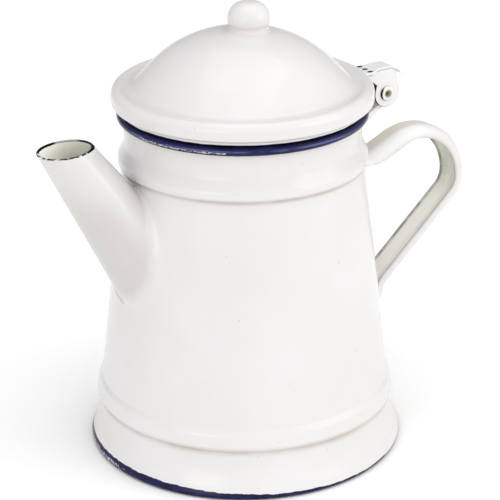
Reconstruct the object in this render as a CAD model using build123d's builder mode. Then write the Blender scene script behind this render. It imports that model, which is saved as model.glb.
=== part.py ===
"""Enamel coffee pot with a hinged lid, millimetres, +Z up.

The origin is the centre of the foot, on the surface that the pot stands on.
The spout points to -X, the handle and the hinge to +X, and the pin of the hinge is along Y.
"""
import os
from math import atan2, cos, hypot, radians, sin, sqrt, tan

from build123d import *

# Sheet and clearances
wall = 1.0                 # steel sheet with its enamel on both sides
pan_wall = 1.0             # sheet of the bottom pan
trim_depth = 4.0           # a piece that is trimmed to another starts this far inside it
seat_gap = 0.05            # between the lid's collar and the rim that it rests on
crease = 0.4               # outside radius at the foot of a rolled bead

# Body: a straight cone between a flared foot and a neck, all set out from the neck
neck_radius = 46.75
shoulder_step = 1.19       # from the neck out to the cone at the upper bead
cone_spread = 11.31        # how much wider the cone is at the lower bead
foot_spread = 4.25         # from the cone at the lower bead out to the blue foot
flare_angle = 21.5         # lean of the foot from the vertical
flare_round = 25.0         # radius between the foot and the cone
shoulder_z = 117.9         # height of the upper bead's lower crease

# Crimped seam under the foot
seam_gap = 0.15            # play between the folded sheets
seam_flat = 0.5            # width of the flat ring that the pot stands on
seam_leg_z = 2.4           # top of the folded leg

# Lower bead
lower_bead_z = 18.8
lower_bead_height = 9.2
lower_bead_rise = 1.45     # how far the bead stands out of the cone
lower_bead_foot = 1.4      # height of its steep lower side
lower_bead_foot_round = 2.4
lower_bead_head = 1.9      # height of its gentle upper side
lower_bead_head_round = 4.0
lower_bead_fade = 0.8      # radius where it runs out into the cone

# Upper bead, neck and rolled rim
upper_bead_rise = 1.35
upper_bead_foot = 0.6
upper_bead_foot_round = 0.9
upper_bead_height = 4.0
upper_bead_draw = 0.1      # how much the bead leans in over its height
upper_bead_head_round = 3.0
neck_rise = 8.7            # from the shoulder to where the bead has run out into the neck
neck_round = 4.5
rim_rise = 20.2            # from the shoulder to the centre of the rolled rim
rim_roll = 0.8             # inside radius of the roll

# Bottom pan
pan_z = 4.6
pan_round = 1.6
flange_gap = 0.25          # between the pan's flange and the foot

# Spout
mouth_reach = 30.05        # from the neck to the centre of the mouth
mouth_drop = 1.9           # centre of the mouth below the centre of the rim
mouth_half_x = 11.0
mouth_half_y = 9.9
mouth_tilt = 3.9
root_inset = 18.15         # centre of the oval that the spout would have inside the pot, in from the neck
root_drop = 55.9           # that oval below the shoulder
root_half_x = 22.1
root_half_y = 20.9
spout_wall = 0.9

# Strainer behind the spout
strainer_hole = 3.6
strainer_pitch = 6.4
strainer_drop = 26.9       # middle of the holes below the shoulder
strainer_half_y = 11.0
strainer_half_z = 15.5

# Handle: a pressed channel, open towards the pot
strap_width = 12.0
strap_depth = 5.3          # depth of its flanges
strap_root_depth = 7.6     # room for the deeper flanges near the pot
strap_round = 3.9
strap_wall = 1.0
handle_reach = 57.95       # from the neck to the outermost face of the handle
handle_rise = 25.7         # slope of the upper arm
crest_round = 25.2
crest_drop = 24.4          # centre of the crest's arc below the shoulder
heel_round = 14.0
heel_run = 0.1             # straight between the crest's arc and the heel's arc
handle_fall = 43.4         # slope of the lower arm
knee_round = 3.0
foot_bend_round = 6.5
foot_bend_reach = 19.05    # from the neck to the outer face of the handle's foot
foot_bend_drop = 75.2      # underside of the handle's foot below the shoulder
flange_drop = 12.0         # lower edge of the flanges below the shoulder, where they meet the pot
flange_root_reach = 13.75
flange_swell_reach = 23.55
flange_swell_drop = 8.2

# Hinge
hinge_reach = 18.35        # from the neck to the pin
hinge_drop = 3.0           # pin below the centre of the rim
arm_width = 5.8
arm_thickness = 2.2
arm_slope = 34.0
arm_low_drop = 14.9        # underside of the arm at the neck, below the centre of the rim
arm_bend = 3.0
eye_radius = 4.3
pad_width = 12.0
pad_height = 12.0
pad_thickness = 2.0
pad_low_drop = 14.7
pad_round = 2.5
rivet_radius = 2.0
rivet_bore = 1.15
rivet_head_radius = 3.0
rivet_head_height = 0.9
rivet_head_round = 0.5
rivet_mouth_round = 0.35
rivet_play = 0.08          # radial running clearance in the arm's eye
rivet_ear_gap = 0.02       # clearance between the rivet and the ears

# Lid: heights above the centre of the rim, widths from the neck
lid_height = 32.7
lid_slope = 45.0           # steepest part of the dome, near the brim
dome_round = 48.0
valley_inset = 2.65
valley_height = 10.5
valley_round = 4.5
brim_overhang = 4.55
brim_climb = 1.5           # from the valley to the corner of the brim
brim_round = 3.2
brim_low = 4.4
hem_round = 1.22
hem_gap = 0.04             # flat between the hem's two bends
hem_return = 0.4           # how far the hem's edge stands above its bends

# Locating collar under the lid
collar_inset = 2.25
collar_wall = 0.8
collar_low = -9.1
collar_seat_overhang = 1.65
collar_seat_height = 2.2
collar_round = 1.0
collar_bead_round = 1.05
collar_weld = 0.45         # how far the collar's edge reaches up into the bend of the lid's valley

# Knob: heights above the top of the dome
knob_x = 3.0               # welded a little towards the hinge
knob_height = 11.0
knob_radius = 8.25
knob_top_round = 5.9
knob_head = 3.8
knob_head_round = 2.0
knob_neck_radius = 6.9
knob_neck = 1.5
knob_neck_round = 1.5
knob_foot_radius = 10.2
knob_foot = -2.4

# Hinge clip on the lid: heights above the pin, lengths from the pin
ear_gap = 0.1              # side play between an ear and the arm
ear_wall = 1.0
ear_radius = 5.8
ear_front_run = 3.6        # straight front edge of an ear
ear_front_round = 4.0
ear_brow = 3.4             # from the tongue down to the ear's forward corner
ear_brow_round = 1.0
ear_top_round = 0.3
ear_back_reach = 3.8
tongue_width = 10.6
tongue_height = 10.4
tongue_reach = 8.3         # slots' centres in front of the pin
tongue_end = 1.9
tongue_taper = 1.2
plate_bend_reach = 7.3
plate_height = 11.2
plate_front_reach = 3.5
plate_back_reach = 2.2
plate_round = 4.0
plate_back_round = 6.0
tail_reach = 9.6
tail_height = 6.7
tail_width = 3.0
tail_taper_reach = 4.6
clip_corner = 0.8
slot_pitch = 3.9
slot_length = 1.9
slot_width = 1.1


def moved_sideways(route, distance):
    """A route of (x, z, corner radius), moved to its left, with its corners kept concentric."""
    heading = []
    for (x0, z0, _), (x1, z1, _) in zip(route[:-1], route[1:]):
        length = hypot(x1 - x0, z1 - z0)
        heading.append(((x1 - x0) / length, (z1 - z0) / length))
    moved = []
    for i, (x, z, radius) in enumerate(route):
        before = heading[max(i - 1, 0)]
        after = heading[min(i, len(heading) - 1)]
        scale = distance / (1 + before[0] * after[0] + before[1] * after[1])
        turn = before[0] * after[1] - before[1] * after[0]
        if radius > 0:
            radius = max(radius - distance * (1 if turn > 0 else -1), 0.05)
        moved.append((x - (before[1] + after[1]) * scale, z + (before[0] + after[0]) * scale, radius))
    return moved


def rounded_line(route):
    """The route drawn as straight runs with rounded corners."""
    return FilletPolyline(*[(x, z) for x, z, _ in route], radius=[r for _, _, r in route[1:-1]])


def sheet_section(route, thickness):
    """Section of a bent sheet: one face follows the route and the other lies to its left."""
    near = rounded_line(route)
    far = rounded_line(moved_sideways(route, thickness))
    ends = [Line(near @ 0, far @ 0), Line(near @ 1, far @ 1)]
    return make_face([*near.edges(), *far.edges(), *ends])


def closed_section(route, *corners):
    """Section between a route and the corners that lead from its end back to its start."""
    line = rounded_line(route)
    back = Polyline(line @ 1, *corners, line @ 0)
    return make_face([*line.edges(), *back.edges()])


# Body lines, worked out from the driving sizes
cone_radius_high = neck_radius + shoulder_step
cone_taper = cone_spread / (shoulder_z - lower_bead_z)
foot_radius = cone_radius_high + cone_spread + foot_spread
rim_z = shoulder_z + rim_rise
rim_top_z = rim_z + rim_roll + wall
hem_radius = wall + pan_wall / 2 + seam_gap
hem_x = foot_radius - hem_radius
hem_turn = radians(45 + flare_angle / 2)
seam_x = hem_x - seam_flat - hem_radius


def cone_radius(z):
    """Outside radius of the cone at a height."""
    return cone_radius_high + cone_taper * (shoulder_z - z)


sliver = 0.01              # straight left between two bends that would otherwise touch
hem_corner_x = hem_x + (hem_radius + sliver) * tan(hem_turn)
flare_lean = tan(radians(flare_angle))
flare_z = (hem_corner_x - cone_radius(0)) / (flare_lean - cone_taper)
bead_top_z = lower_bead_z + lower_bead_height
bead_foot_z = lower_bead_z + lower_bead_foot
bead_head_z = bead_top_z - lower_bead_head
upper_bead_radius = cone_radius_high + upper_bead_rise

foot_route = [
    (seam_x, seam_leg_z, 0),
    (seam_x, 0, hem_radius - sliver),
    (hem_corner_x, 0, hem_radius - sliver),
    (cone_radius(flare_z), flare_z, flare_round),
]
wall_route = [
    (cone_radius(lower_bead_z), lower_bead_z, crease),
    (cone_radius(lower_bead_z) + lower_bead_rise, bead_foot_z, lower_bead_foot_round),
    (cone_radius(bead_top_z) + lower_bead_rise, bead_head_z, lower_bead_head_round),
    (cone_radius(bead_top_z), bead_top_z, lower_bead_fade),
    (cone_radius_high, shoulder_z, crease),
    (upper_bead_radius, shoulder_z + upper_bead_foot, upper_bead_foot_round),
    (upper_bead_radius - upper_bead_draw, shoulder_z + upper_bead_height, upper_bead_head_round),
    (neck_radius, shoulder_z + neck_rise, neck_round),
]
roll_round = rim_roll - 2 * sliver
roll_x = neck_radius + 2 * rim_roll
roll_route = [
    (neck_radius, rim_z + rim_roll, roll_round),
    (roll_x, rim_z + rim_roll, roll_round),
    (roll_x, rim_z - rim_roll, roll_round),
    (neck_radius + rim_roll / 2, rim_z - rim_roll, 0),
]

# Everything inside the outer face of the body, used to trim what is welded onto it
outer_route = [(foot_radius, 0, 0)] + wall_route + [(neck_radius, rim_z, 0)]
outer_section = closed_section(outer_route, (0, rim_z), (0, 0))
with BuildPart() as body_envelope:
    with BuildSketch(Plane.XZ):
        add(outer_section)
    revolve(axis=Axis.Z)

# Strainer holes: rows of a triangular pattern inside an oval
row_pitch = strainer_pitch * sqrt(3) / 2
row_count = int(strainer_half_z // row_pitch)
oval_half_z = strainer_half_z + strainer_pitch / 2
holes = []
for row in range(-row_count, row_count + 1):
    half = strainer_half_y * sqrt(1 - (row * row_pitch / oval_half_z) ** 2)
    shift = strainer_pitch / 2 if row % 2 else 0
    steps = int((half - shift) // strainer_pitch)
    for step in range(-steps - (1 if shift else 0), steps + 1):
        holes.append((step * strainer_pitch + shift, shoulder_z - strainer_drop + row * row_pitch))

# Body shell: one sheet from the crimped foot to the rolled rim, pierced behind the spout
body_section = sheet_section(foot_route + wall_route + roll_route, wall)
with BuildPart() as body_shell:
    with BuildSketch(Plane.XZ):
        add(body_section)
    revolve(axis=Axis.Z)
    with BuildSketch(Plane.YZ.offset(-foot_radius)):
        with Locations(*holes):
            Circle(strainer_hole / 2)
    extrude(amount=foot_radius - neck_radius / 2, mode=Mode.SUBTRACT)

# Bottom pan: its flange is held in the fold of the foot
flange_x = hem_x + (hem_radius - wall) * cos(radians(flare_angle)) - flange_gap
pan_corner_x = flange_x - (pan_z - hem_radius) * flare_lean
pan_route = [
    (0, pan_z, 0),
    (pan_corner_x, pan_z, pan_round),
    (flange_x, hem_radius, 0),
]
pan_section = sheet_section(pan_route, -pan_wall)
with BuildPart() as bottom_pan:
    with BuildSketch(Plane.XZ):
        add(pan_section)
    revolve(axis=Axis.Z)

# Spout: a straight tapered oval tube, cut at the mouth and trimmed to the body
tilt = radians(mouth_tilt)
mouth_x = -neck_radius - mouth_reach
mouth_z = rim_z - mouth_drop
root_x = root_inset - neck_radius
root_z = shoulder_z - root_drop
mouth_plane = Plane((mouth_x, 0, mouth_z), x_dir=(cos(tilt), 0, sin(tilt)), z_dir=(-sin(tilt), 0, cos(tilt)))
root_plane = Plane((root_x, 0, root_z), x_dir=(1, 0, 0), z_dir=(0, 0, 1))
side_wall = spout_wall / cos(atan2(root_x - mouth_x, mouth_z - root_z))
with BuildPart() as spout:
    with BuildSketch(mouth_plane):
        Ellipse(mouth_half_x, mouth_half_y)
    with BuildSketch(root_plane):
        Ellipse(root_half_x, root_half_y)
    loft()
    with BuildSketch(mouth_plane):
        Ellipse(mouth_half_x - side_wall, mouth_half_y - spout_wall)
    with BuildSketch(root_plane):
        Ellipse(root_half_x - side_wall, root_half_y - spout_wall)
    loft(mode=Mode.SUBTRACT)
    add(body_envelope.part, mode=Mode.SUBTRACT)

# Handle: the outer face of the strap runs over the crest and down to the foot
rise = radians(handle_rise)
fall = radians(handle_fall)
reach_x = neck_radius + handle_reach
start_x = neck_radius - trim_depth
crest_z = shoulder_z - crest_drop
crest_corner_z = crest_z + crest_round * tan((radians(90) + rise) / 2)
heel_z = crest_z - heel_round * tan((radians(90) - fall) / 2) - heel_run
foot_x = neck_radius + foot_bend_reach
foot_z = shoulder_z - foot_bend_drop
handle_route = [
    (start_x, crest_corner_z - (reach_x - start_x) * tan(rise), 0),
    (reach_x, crest_corner_z, crest_round),
    (reach_x, heel_z, heel_round),
    (foot_x, heel_z - (reach_x - foot_x) * tan(fall), knee_round),
    (foot_x, foot_z, foot_bend_round),
    (cone_radius(foot_z) - trim_depth, foot_z, 0),
]
half_strap = strap_width / 2
channel_route = [
    (half_strap, -strap_root_depth, 0),
    (half_strap, 0, strap_round),
    (-half_strap, 0, strap_round),
    (-half_strap, -strap_root_depth, 0),
]

# Side view of the strap: its flanges deepen towards the pot and end level on it
flange_route = moved_sideways(handle_route, -strap_depth)
crest_point = (reach_x - crest_round, crest_z + crest_round - strap_depth)
crest_corner = (flange_route[1][0], crest_point[1], crest_round - strap_depth - 2 * sliver)
flange_points = [
    (start_x - trim_depth / 2, shoulder_z - flange_drop),
    (neck_radius + flange_root_reach, shoulder_z - flange_drop),
    (neck_radius + flange_swell_reach, shoulder_z - flange_swell_drop),
    crest_point,
]
flange_curve = Spline(*flange_points, tangents=[(1, 0), (1, 0)])
flange_line = rounded_line([(*crest_point, 0), crest_corner] + flange_route[2:])
cover_line = rounded_line(moved_sideways(handle_route, strap_wall))
strap_ends = [Line(flange_curve @ 0, cover_line @ 0), Line(flange_line @ 1, cover_line @ 1)]
strap_side = make_face([flange_curve, *flange_line.edges(), *cover_line.edges(), *strap_ends])
channel_section = sheet_section(channel_route, strap_wall)
with BuildLine(Plane.XZ) as handle_path:
    rounded_line(handle_route)
handle_line = handle_path.wires()[0]
channel_plane = Plane(handle_line @ 0, x_dir=(0, 1, 0), z_dir=handle_line % 0)
with BuildPart() as handle:
    with BuildSketch(channel_plane):
        add(channel_section)
    sweep(path=handle_line)
    with BuildSketch(Plane.XZ):
        add(strap_side)
    extrude(amount=strap_width, both=True, mode=Mode.INTERSECT)
    add(body_envelope.part, mode=Mode.SUBTRACT)

# Hinge arm: a pad on the neck, a strap, and an eye round the rivet
hinge_x = neck_radius + hinge_reach
hinge_z = rim_z - hinge_drop
slope = radians(arm_slope)
eye_low_x = hinge_x + eye_radius * sin(slope)
eye_low_z = hinge_z - eye_radius * cos(slope)
arm_low_z = rim_z - arm_low_drop
arm_route = [
    (neck_radius - trim_depth / 4, arm_low_z, 0),
    (eye_low_x - (eye_low_z - arm_low_z) / tan(slope), arm_low_z, arm_bend),
    (eye_low_x, eye_low_z, 0),
]
arm_section = sheet_section(arm_route, arm_thickness)
with BuildPart() as hinge_arm:
    with BuildSketch(Plane.XZ):
        add(arm_section)
        with Locations((hinge_x, hinge_z)):
            Circle(eye_radius)
    extrude(amount=arm_width / 2, both=True)
    with BuildSketch(Plane.YZ.offset(neck_radius - trim_depth / 2)):
        with Locations((0, rim_z - pad_low_drop + pad_height / 2)):
            RectangleRounded(pad_width, pad_height, pad_round)
    extrude(amount=trim_depth / 2 + pad_thickness)
    add(body_envelope.part, mode=Mode.SUBTRACT)
    with BuildSketch(Plane.XZ):
        with Locations((hinge_x, hinge_z)):
            Circle(rivet_radius + rivet_play)
    extrude(amount=arm_width, both=True, mode=Mode.SUBTRACT)

# Lid: dome, valley and rolled brim from one sheet
valley_radius = neck_radius - valley_inset
brim_radius = neck_radius + brim_overhang
lid_top_z = rim_z + lid_height
valley_z = rim_z + valley_height
brim_low_z = rim_z + brim_low
dome_line_x = valley_radius - (lid_top_z - valley_z) / tan(radians(lid_slope))
hem_return_x = brim_radius - 2 * hem_round - hem_gap
lid_route = [
    (0, lid_top_z, 0),
    (dome_line_x, lid_top_z, dome_round),
    (valley_radius, valley_z, valley_round),
    (brim_radius, valley_z + brim_climb, brim_round),
    (brim_radius, brim_low_z, hem_round),
    (hem_return_x, brim_low_z, hem_round),
    (hem_return_x, brim_low_z + hem_round + hem_return, 0),
]
lid_section = sheet_section(lid_route, -wall)
with BuildPart() as lid_shell:
    with BuildSketch(Plane.XZ):
        add(lid_section)
    revolve(axis=Axis.Z)

# Everything under the outer face of the lid, used to trim the knob and the clip
cover_low_z = brim_low_z - trim_depth
cover_section = closed_section(lid_route[:4] + [(brim_radius, cover_low_z, 0)], (0, cover_low_z))
with BuildPart() as lid_envelope:
    with BuildSketch(Plane.XZ):
        add(cover_section)
    revolve(axis=Axis.Z)

# Collar: keeps the lid on centre and carries it on the rim
collar_radius = neck_radius - collar_inset
collar_seat_radius = neck_radius + collar_seat_overhang
seat_z = rim_top_z + seat_gap
seat_top_z = seat_z + collar_seat_height
collar_route = [
    (collar_radius, rim_z + collar_low, 0),
    (collar_radius, seat_z, collar_round),
    (collar_seat_radius, seat_z, collar_bead_round),
    (collar_seat_radius, seat_top_z, collar_bead_round),
    (collar_radius, seat_top_z, collar_round),
    (collar_radius, valley_z - wall + collar_weld, 0),
]
collar_section = sheet_section(collar_route, collar_wall)
with BuildPart() as lid_collar:
    with BuildSketch(Plane.XZ):
        add(collar_section)
    revolve(axis=Axis.Z)

# Knob: a hollow pressing welded on the dome
knob_top_z = lid_top_z + knob_height
knob_route = [
    (knob_foot_radius, lid_top_z + knob_foot, 0),
    (knob_neck_radius, lid_top_z + knob_neck, knob_neck_round),
    (knob_radius, lid_top_z + knob_head, knob_head_round),
    (knob_radius, knob_top_z, knob_top_round),
    (0, knob_top_z, 0),
]
knob_section = sheet_section(knob_route, wall)
knob_plane = Plane((knob_x, 0, 0), x_dir=(1, 0, 0), z_dir=(0, -1, 0))
with BuildPart() as lid_knob:
    with BuildSketch(knob_plane):
        add(knob_section)
    revolve(axis=Axis((knob_x, 0, 0), (0, 0, 1)))
    add(lid_envelope.part, mode=Mode.SUBTRACT)

# Clip: tongue on the brim, two ears round the arm, and a tail for the thumb
tongue_x = brim_radius - trim_depth * 3 / 4
tongue_z = hinge_z + tongue_height
plate_z = hinge_z + plate_height
slot_x = hinge_x - tongue_reach
tail_x = hinge_x + tail_reach
tail_z = hinge_z + tail_height
plate_route = [
    (tongue_x, tongue_z, 0),
    (hinge_x - plate_bend_reach, tongue_z, plate_round),
    (hinge_x - plate_front_reach, plate_z, plate_round),
    (hinge_x + plate_back_reach, plate_z, plate_back_round),
    (tail_x, tail_z, 0),
]
ear_corner_x = slot_x - clip_corner
ear_top_z = tongue_z - ear_wall / 2
ear_route = [
    (hinge_x - ear_radius, hinge_z, 0),
    (hinge_x - ear_radius, hinge_z + ear_front_run, ear_front_round),
    (ear_corner_x, tongue_z - ear_brow, ear_brow_round),
    (ear_corner_x, ear_top_z, ear_top_round),
    (hinge_x + ear_back_reach, ear_top_z, ear_brow_round),
    (hinge_x + ear_radius, hinge_z, 0),
]
half_clip = arm_width / 2 + ear_gap + ear_wall
half_tongue = tongue_width / 2
half_tail = tail_width / 2
tongue_end_x = slot_x + tongue_end
half_plan = [
    (tongue_x, half_tongue),
    (tongue_end_x, half_tongue),
    (tongue_end_x + tongue_taper, half_clip),
    (hinge_x + tail_taper_reach, half_clip),
    (tail_x, half_tail),
]
clip_plan = half_plan + [(x, -y) for x, y in reversed(half_plan)]
plate_section = sheet_section(plate_route, -ear_wall)
ear_section = closed_section(ear_route)
clip_outline = make_face(FilletPolyline(*clip_plan, radius=clip_corner, close=True).edges())
with BuildPart() as lid_clip:
    with BuildSketch(Plane.XZ):
        add(plate_section)
    extrude(amount=half_tongue, both=True)
    with BuildSketch(Plane.XY.offset(hinge_z)):
        add(clip_outline)
    extrude(amount=2 * plate_height, mode=Mode.INTERSECT)
    for side in (1, -1):
        with BuildSketch(Plane.XZ.offset(side * half_clip)):
            add(ear_section)
            with Locations((hinge_x, hinge_z)):
                Circle(ear_radius)
        extrude(amount=-side * ear_wall)
    with BuildSketch(Plane.XY.offset(plate_z + ear_wall)):
        with Locations(*[(slot_x, step * slot_pitch) for step in (-1, 0, 1)]):
            SlotOverall(slot_length, slot_width)
    extrude(amount=-3 * ear_wall - plate_height + tongue_height, mode=Mode.SUBTRACT)
    with BuildSketch(Plane.XZ):
        with Locations((hinge_x, hinge_z)):
            Circle(rivet_radius + rivet_ear_gap)
    extrude(amount=2 * half_clip, both=True, mode=Mode.SUBTRACT)
    add(lid_envelope.part, mode=Mode.SUBTRACT)

# Rivet: a tube, clenched over both ears
with BuildPart() as hinge_rivet:
    with BuildSketch(Plane.XZ):
        with Locations((hinge_x, hinge_z)):
            Circle(rivet_radius)
    extrude(amount=half_clip + rivet_head_height / 2, both=True)
    for side in (1, -1):
        with BuildSketch(Plane.XZ.offset(side * (half_clip + rivet_ear_gap))):
            with Locations((hinge_x, hinge_z)):
                Circle(rivet_head_radius)
        extrude(amount=side * rivet_head_height)
    rims = hinge_rivet.edges().filter_by(GeomType.CIRCLE).sort_by(Axis.Y)
    fillet([rims[0], rims[-1]], radius=rivet_head_round)
    with BuildSketch(Plane.XZ):
        with Locations((hinge_x, hinge_z)):
            Circle(rivet_bore)
    extrude(amount=2 * half_clip, both=True, mode=Mode.SUBTRACT)
    circles = hinge_rivet.edges().filter_by(GeomType.CIRCLE)
    mouths = [e for e in circles if abs(e.radius - rivet_bore) < sliver]
    fillet(mouths, radius=rivet_mouth_round)

pieces = {
    "body_shell": body_shell,
    "bottom_pan": bottom_pan,
    "spout": spout,
    "handle": handle,
    "hinge_arm": hinge_arm,
    "lid_shell": lid_shell,
    "lid_collar": lid_collar,
    "lid_knob": lid_knob,
    "lid_clip": lid_clip,
    "hinge_rivet": hinge_rivet,
}
os.makedirs("parts", exist_ok=True)
for name, piece in pieces.items():
    piece.part.label = name
    export_step(piece.part, f"parts/{name}.step")
    size = piece.part.bounding_box().size
    print(name, "volume", round(piece.part.volume, 1), "size", [round(v, 2) for v in size])
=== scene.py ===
# %% [markdown]
# An enamel coffee pot with a hinged lid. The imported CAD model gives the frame: the origin is at
# the middle of the foot, +Z is up, the spout points to -X and the hinge and handle to +X. Each
# pressed piece is made again here as a smooth surface, in the place that the frame gives it.

# %% Load the frame
import functools
import math

import bpy
import bmesh
from mathutils import Matrix, Vector


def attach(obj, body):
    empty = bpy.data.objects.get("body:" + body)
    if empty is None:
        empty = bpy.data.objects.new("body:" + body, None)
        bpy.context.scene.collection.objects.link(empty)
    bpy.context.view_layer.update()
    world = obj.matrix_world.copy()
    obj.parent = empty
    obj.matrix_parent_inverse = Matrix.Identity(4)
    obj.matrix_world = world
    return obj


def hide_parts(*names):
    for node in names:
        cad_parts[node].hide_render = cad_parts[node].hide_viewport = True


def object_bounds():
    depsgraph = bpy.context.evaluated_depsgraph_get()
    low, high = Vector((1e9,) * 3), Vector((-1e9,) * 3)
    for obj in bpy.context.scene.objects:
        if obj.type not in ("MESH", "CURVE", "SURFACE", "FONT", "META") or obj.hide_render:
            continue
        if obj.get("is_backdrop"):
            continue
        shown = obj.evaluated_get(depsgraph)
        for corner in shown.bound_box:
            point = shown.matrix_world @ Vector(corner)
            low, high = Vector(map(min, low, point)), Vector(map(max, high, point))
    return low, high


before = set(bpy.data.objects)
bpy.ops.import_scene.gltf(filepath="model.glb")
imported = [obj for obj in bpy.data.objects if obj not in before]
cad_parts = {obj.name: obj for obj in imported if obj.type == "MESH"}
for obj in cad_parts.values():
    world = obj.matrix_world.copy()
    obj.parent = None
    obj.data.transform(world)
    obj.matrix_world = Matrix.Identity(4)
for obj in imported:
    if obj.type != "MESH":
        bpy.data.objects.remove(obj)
cad_low, cad_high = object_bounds()
print("CAD box", [round(v, 4) for v in (*cad_low, *cad_high)])

# %% [markdown]
# The camera comes first, because everything is judged through it. A long lens looks down at the
# pot from in front of the spout's side. The small shift puts the pot's axis a little left of the
# middle, and the small roll levels the pot as in the photograph.

# %% Camera
scene = bpy.context.scene
scene.view_settings.view_transform = "Standard"
MM = 0.001
EYE = Vector((-370.7, -642.04, 387.97)) * MM
AIM = Vector((0, 0, 79.02)) * MM
ROLL = -0.0077

camera_data = bpy.data.cameras.new("photo_camera")
camera_data.lens = 144
camera_data.sensor_width = 36
camera_data.shift_x = 0.0124
camera = bpy.data.objects.new("photo_camera", camera_data)
ahead = (AIM - EYE).normalized()
level = ahead.cross(Vector((0, 0, 1))).normalized()
upright = level.cross(ahead)
right = level * math.cos(ROLL) + upright * math.sin(ROLL)
above = upright * math.cos(ROLL) - level * math.sin(ROLL)
turn = Matrix((right, above, -ahead)).transposed()
camera.matrix_world = Matrix.Translation(EYE) @ turn.to_4x4()
scene.collection.objects.link(camera)
scene.camera = camera
print("camera", round((AIM - EYE).length, 3), "m from the pot")

# %% [markdown]
# Lights, finishes and Geometry Nodes are all trees of nodes, and a tree written node by node hides
# what it does. This class gives the common steps short names. A value may be a number, a colour
# or another node's socket.

# %% Words for wiring nodes
class Wiring:
    """Short words for adding and joining the nodes of one tree."""

    def __init__(self, tree):
        self.tree = tree

    def put(self, value, socket):
        """Joins a socket to a socket, or writes a plain value into it."""
        if isinstance(value, bpy.types.NodeSocket):
            self.tree.links.new(value, socket)
        else:
            socket.default_value = value

    def fill(self, node, **values):
        """Sets a node's inputs by name."""
        for key, value in values.items():
            self.put(value, node.inputs[key.replace("_", " ")])
        return node

    def node(self, kind, **values):
        return self.fill(self.tree.nodes.new(kind), **values)

    def row(self, *nodes):
        """Joins each node's first output to the next node's first input."""
        for a, b in zip(nodes, nodes[1:]):
            self.put(a.outputs[0], b.inputs[0])

    def worked(self, kind, operation, values):
        """The outputs of a math node of one kind."""
        made = self.tree.nodes.new(kind)
        made.operation = operation
        for value, socket in zip(values, made.inputs):
            self.put(value, socket)
        return made.outputs

    def math(self, operation, *values):
        return self.worked("ShaderNodeMath", operation, values)[0]

    def chain(self, operation, *values):
        """Works out two or more values, one after the other."""
        return functools.reduce(lambda a, b: self.math(operation, a, b), values)

    plus = functools.partialmethod(chain, "ADD")
    minus = functools.partialmethod(chain, "SUBTRACT")
    times = functools.partialmethod(chain, "MULTIPLY")
    share = functools.partialmethod(chain, "DIVIDE")
    most = functools.partialmethod(chain, "MAXIMUM")

    def hypot(self, a, b):
        return self.math("SQRT", self.plus(self.times(a, a), self.times(b, b)))

    def dot(self, a, b):
        return self.worked("ShaderNodeVectorMath", "DOT_PRODUCT", (a, b))["Value"]

    def stretched(self, vector, scales):
        return self.worked("ShaderNodeVectorMath", "MULTIPLY", (vector, scales))["Vector"]

    def ramp(self, value, low, high, start=0.0, end=1.0):
        """Maps low..high to start..end with a smooth step."""
        made = self.node("ShaderNodeMapRange", Value=value, From_Min=low, From_Max=high)
        made.interpolation_type = "SMOOTHSTEP"
        self.fill(made, To_Min=start, To_Max=end)
        return made.outputs["Result"]

    def band(self, value, middle, half, soft):
        """1 within half of the middle, fading to 0 over the soft width."""
        away = self.math("ABSOLUTE", self.minus(value, middle))
        return self.ramp(away, half, half + soft, 1.0, 0.0)

    def noise(self, coords, scale, detail=2.0, rough=0.5):
        made = self.node("ShaderNodeTexNoise", Vector=coords, Scale=scale, Detail=detail, Roughness=rough)
        return made.outputs["Fac"]

    def wander(self, coords, scale, amount):
        """Noise about zero, for a line that a hand didn't draw quite straight."""
        return self.times(self.minus(self.noise(coords, scale, 3.0), 0.5), amount)

    def mix(self, amount, a, b, kind="RGBA"):
        """A colour between two colours, or a number between two with the kind FLOAT."""
        made = self.tree.nodes.new("ShaderNodeMix")
        made.data_type = kind
        first, result = {"RGBA": (6, 2), "FLOAT": (2, 0)}[kind]
        for value, number in ((amount, 0), (a, first), (b, first + 1)):
            self.put(value, made.inputs[number])
        return made.outputs[result]

    def coords(self):
        return self.node("ShaderNodeTexCoord").outputs["Object"]

    def millimetres(self, vector):
        """The x, y and z of a place in metres, each in millimetres."""
        longer = self.stretched(vector, (1000, 1000, 1000))
        return self.node("ShaderNodeSeparateXYZ", Vector=longer).outputs

    def marked(self, name):
        """What the mesh's own attribute says at each point."""
        made = self.tree.nodes.new("ShaderNodeAttribute")
        made.attribute_name = name
        return made.outputs["Fac"]

    def group(self, tree, **values):
        """The outputs of a shader group placed in this tree."""
        made = self.tree.nodes.new("ShaderNodeGroup")
        made.node_tree = tree
        return self.fill(made, **values).outputs


def new_material(name):
    """A material with nodes, and the words for wiring them."""
    material = bpy.data.materials.new(name)
    material.use_nodes = True
    return material, Wiring(material.node_tree)


# %% [markdown]
# White enamel on a pale floor needs soft light from everywhere, or it looks dirty, but also a
# darker side, or its edges vanish into the floor. The world is white above and in front, and
# falls off behind the pot, where the edges mirror it. Broad panels above and to the right do
# the rest, a low one lights what the brim would shade, and the floor is a large pale sheet.

# %% World, lights and floor
world = bpy.data.worlds.new("studio")
scene.world = world
world.use_nodes = True
w = Wiring(world.node_tree)
behind = w.dot(w.node("ShaderNodeTexCoord").outputs["Generated"], (0.28, 0.96, 0.0))
sky = world.node_tree.nodes["Background"]
w.fill(sky, Color=(1.0, 0.995, 0.99, 1), Strength=w.ramp(behind, -0.05, 0.85, 1.12, 0.34))

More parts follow.
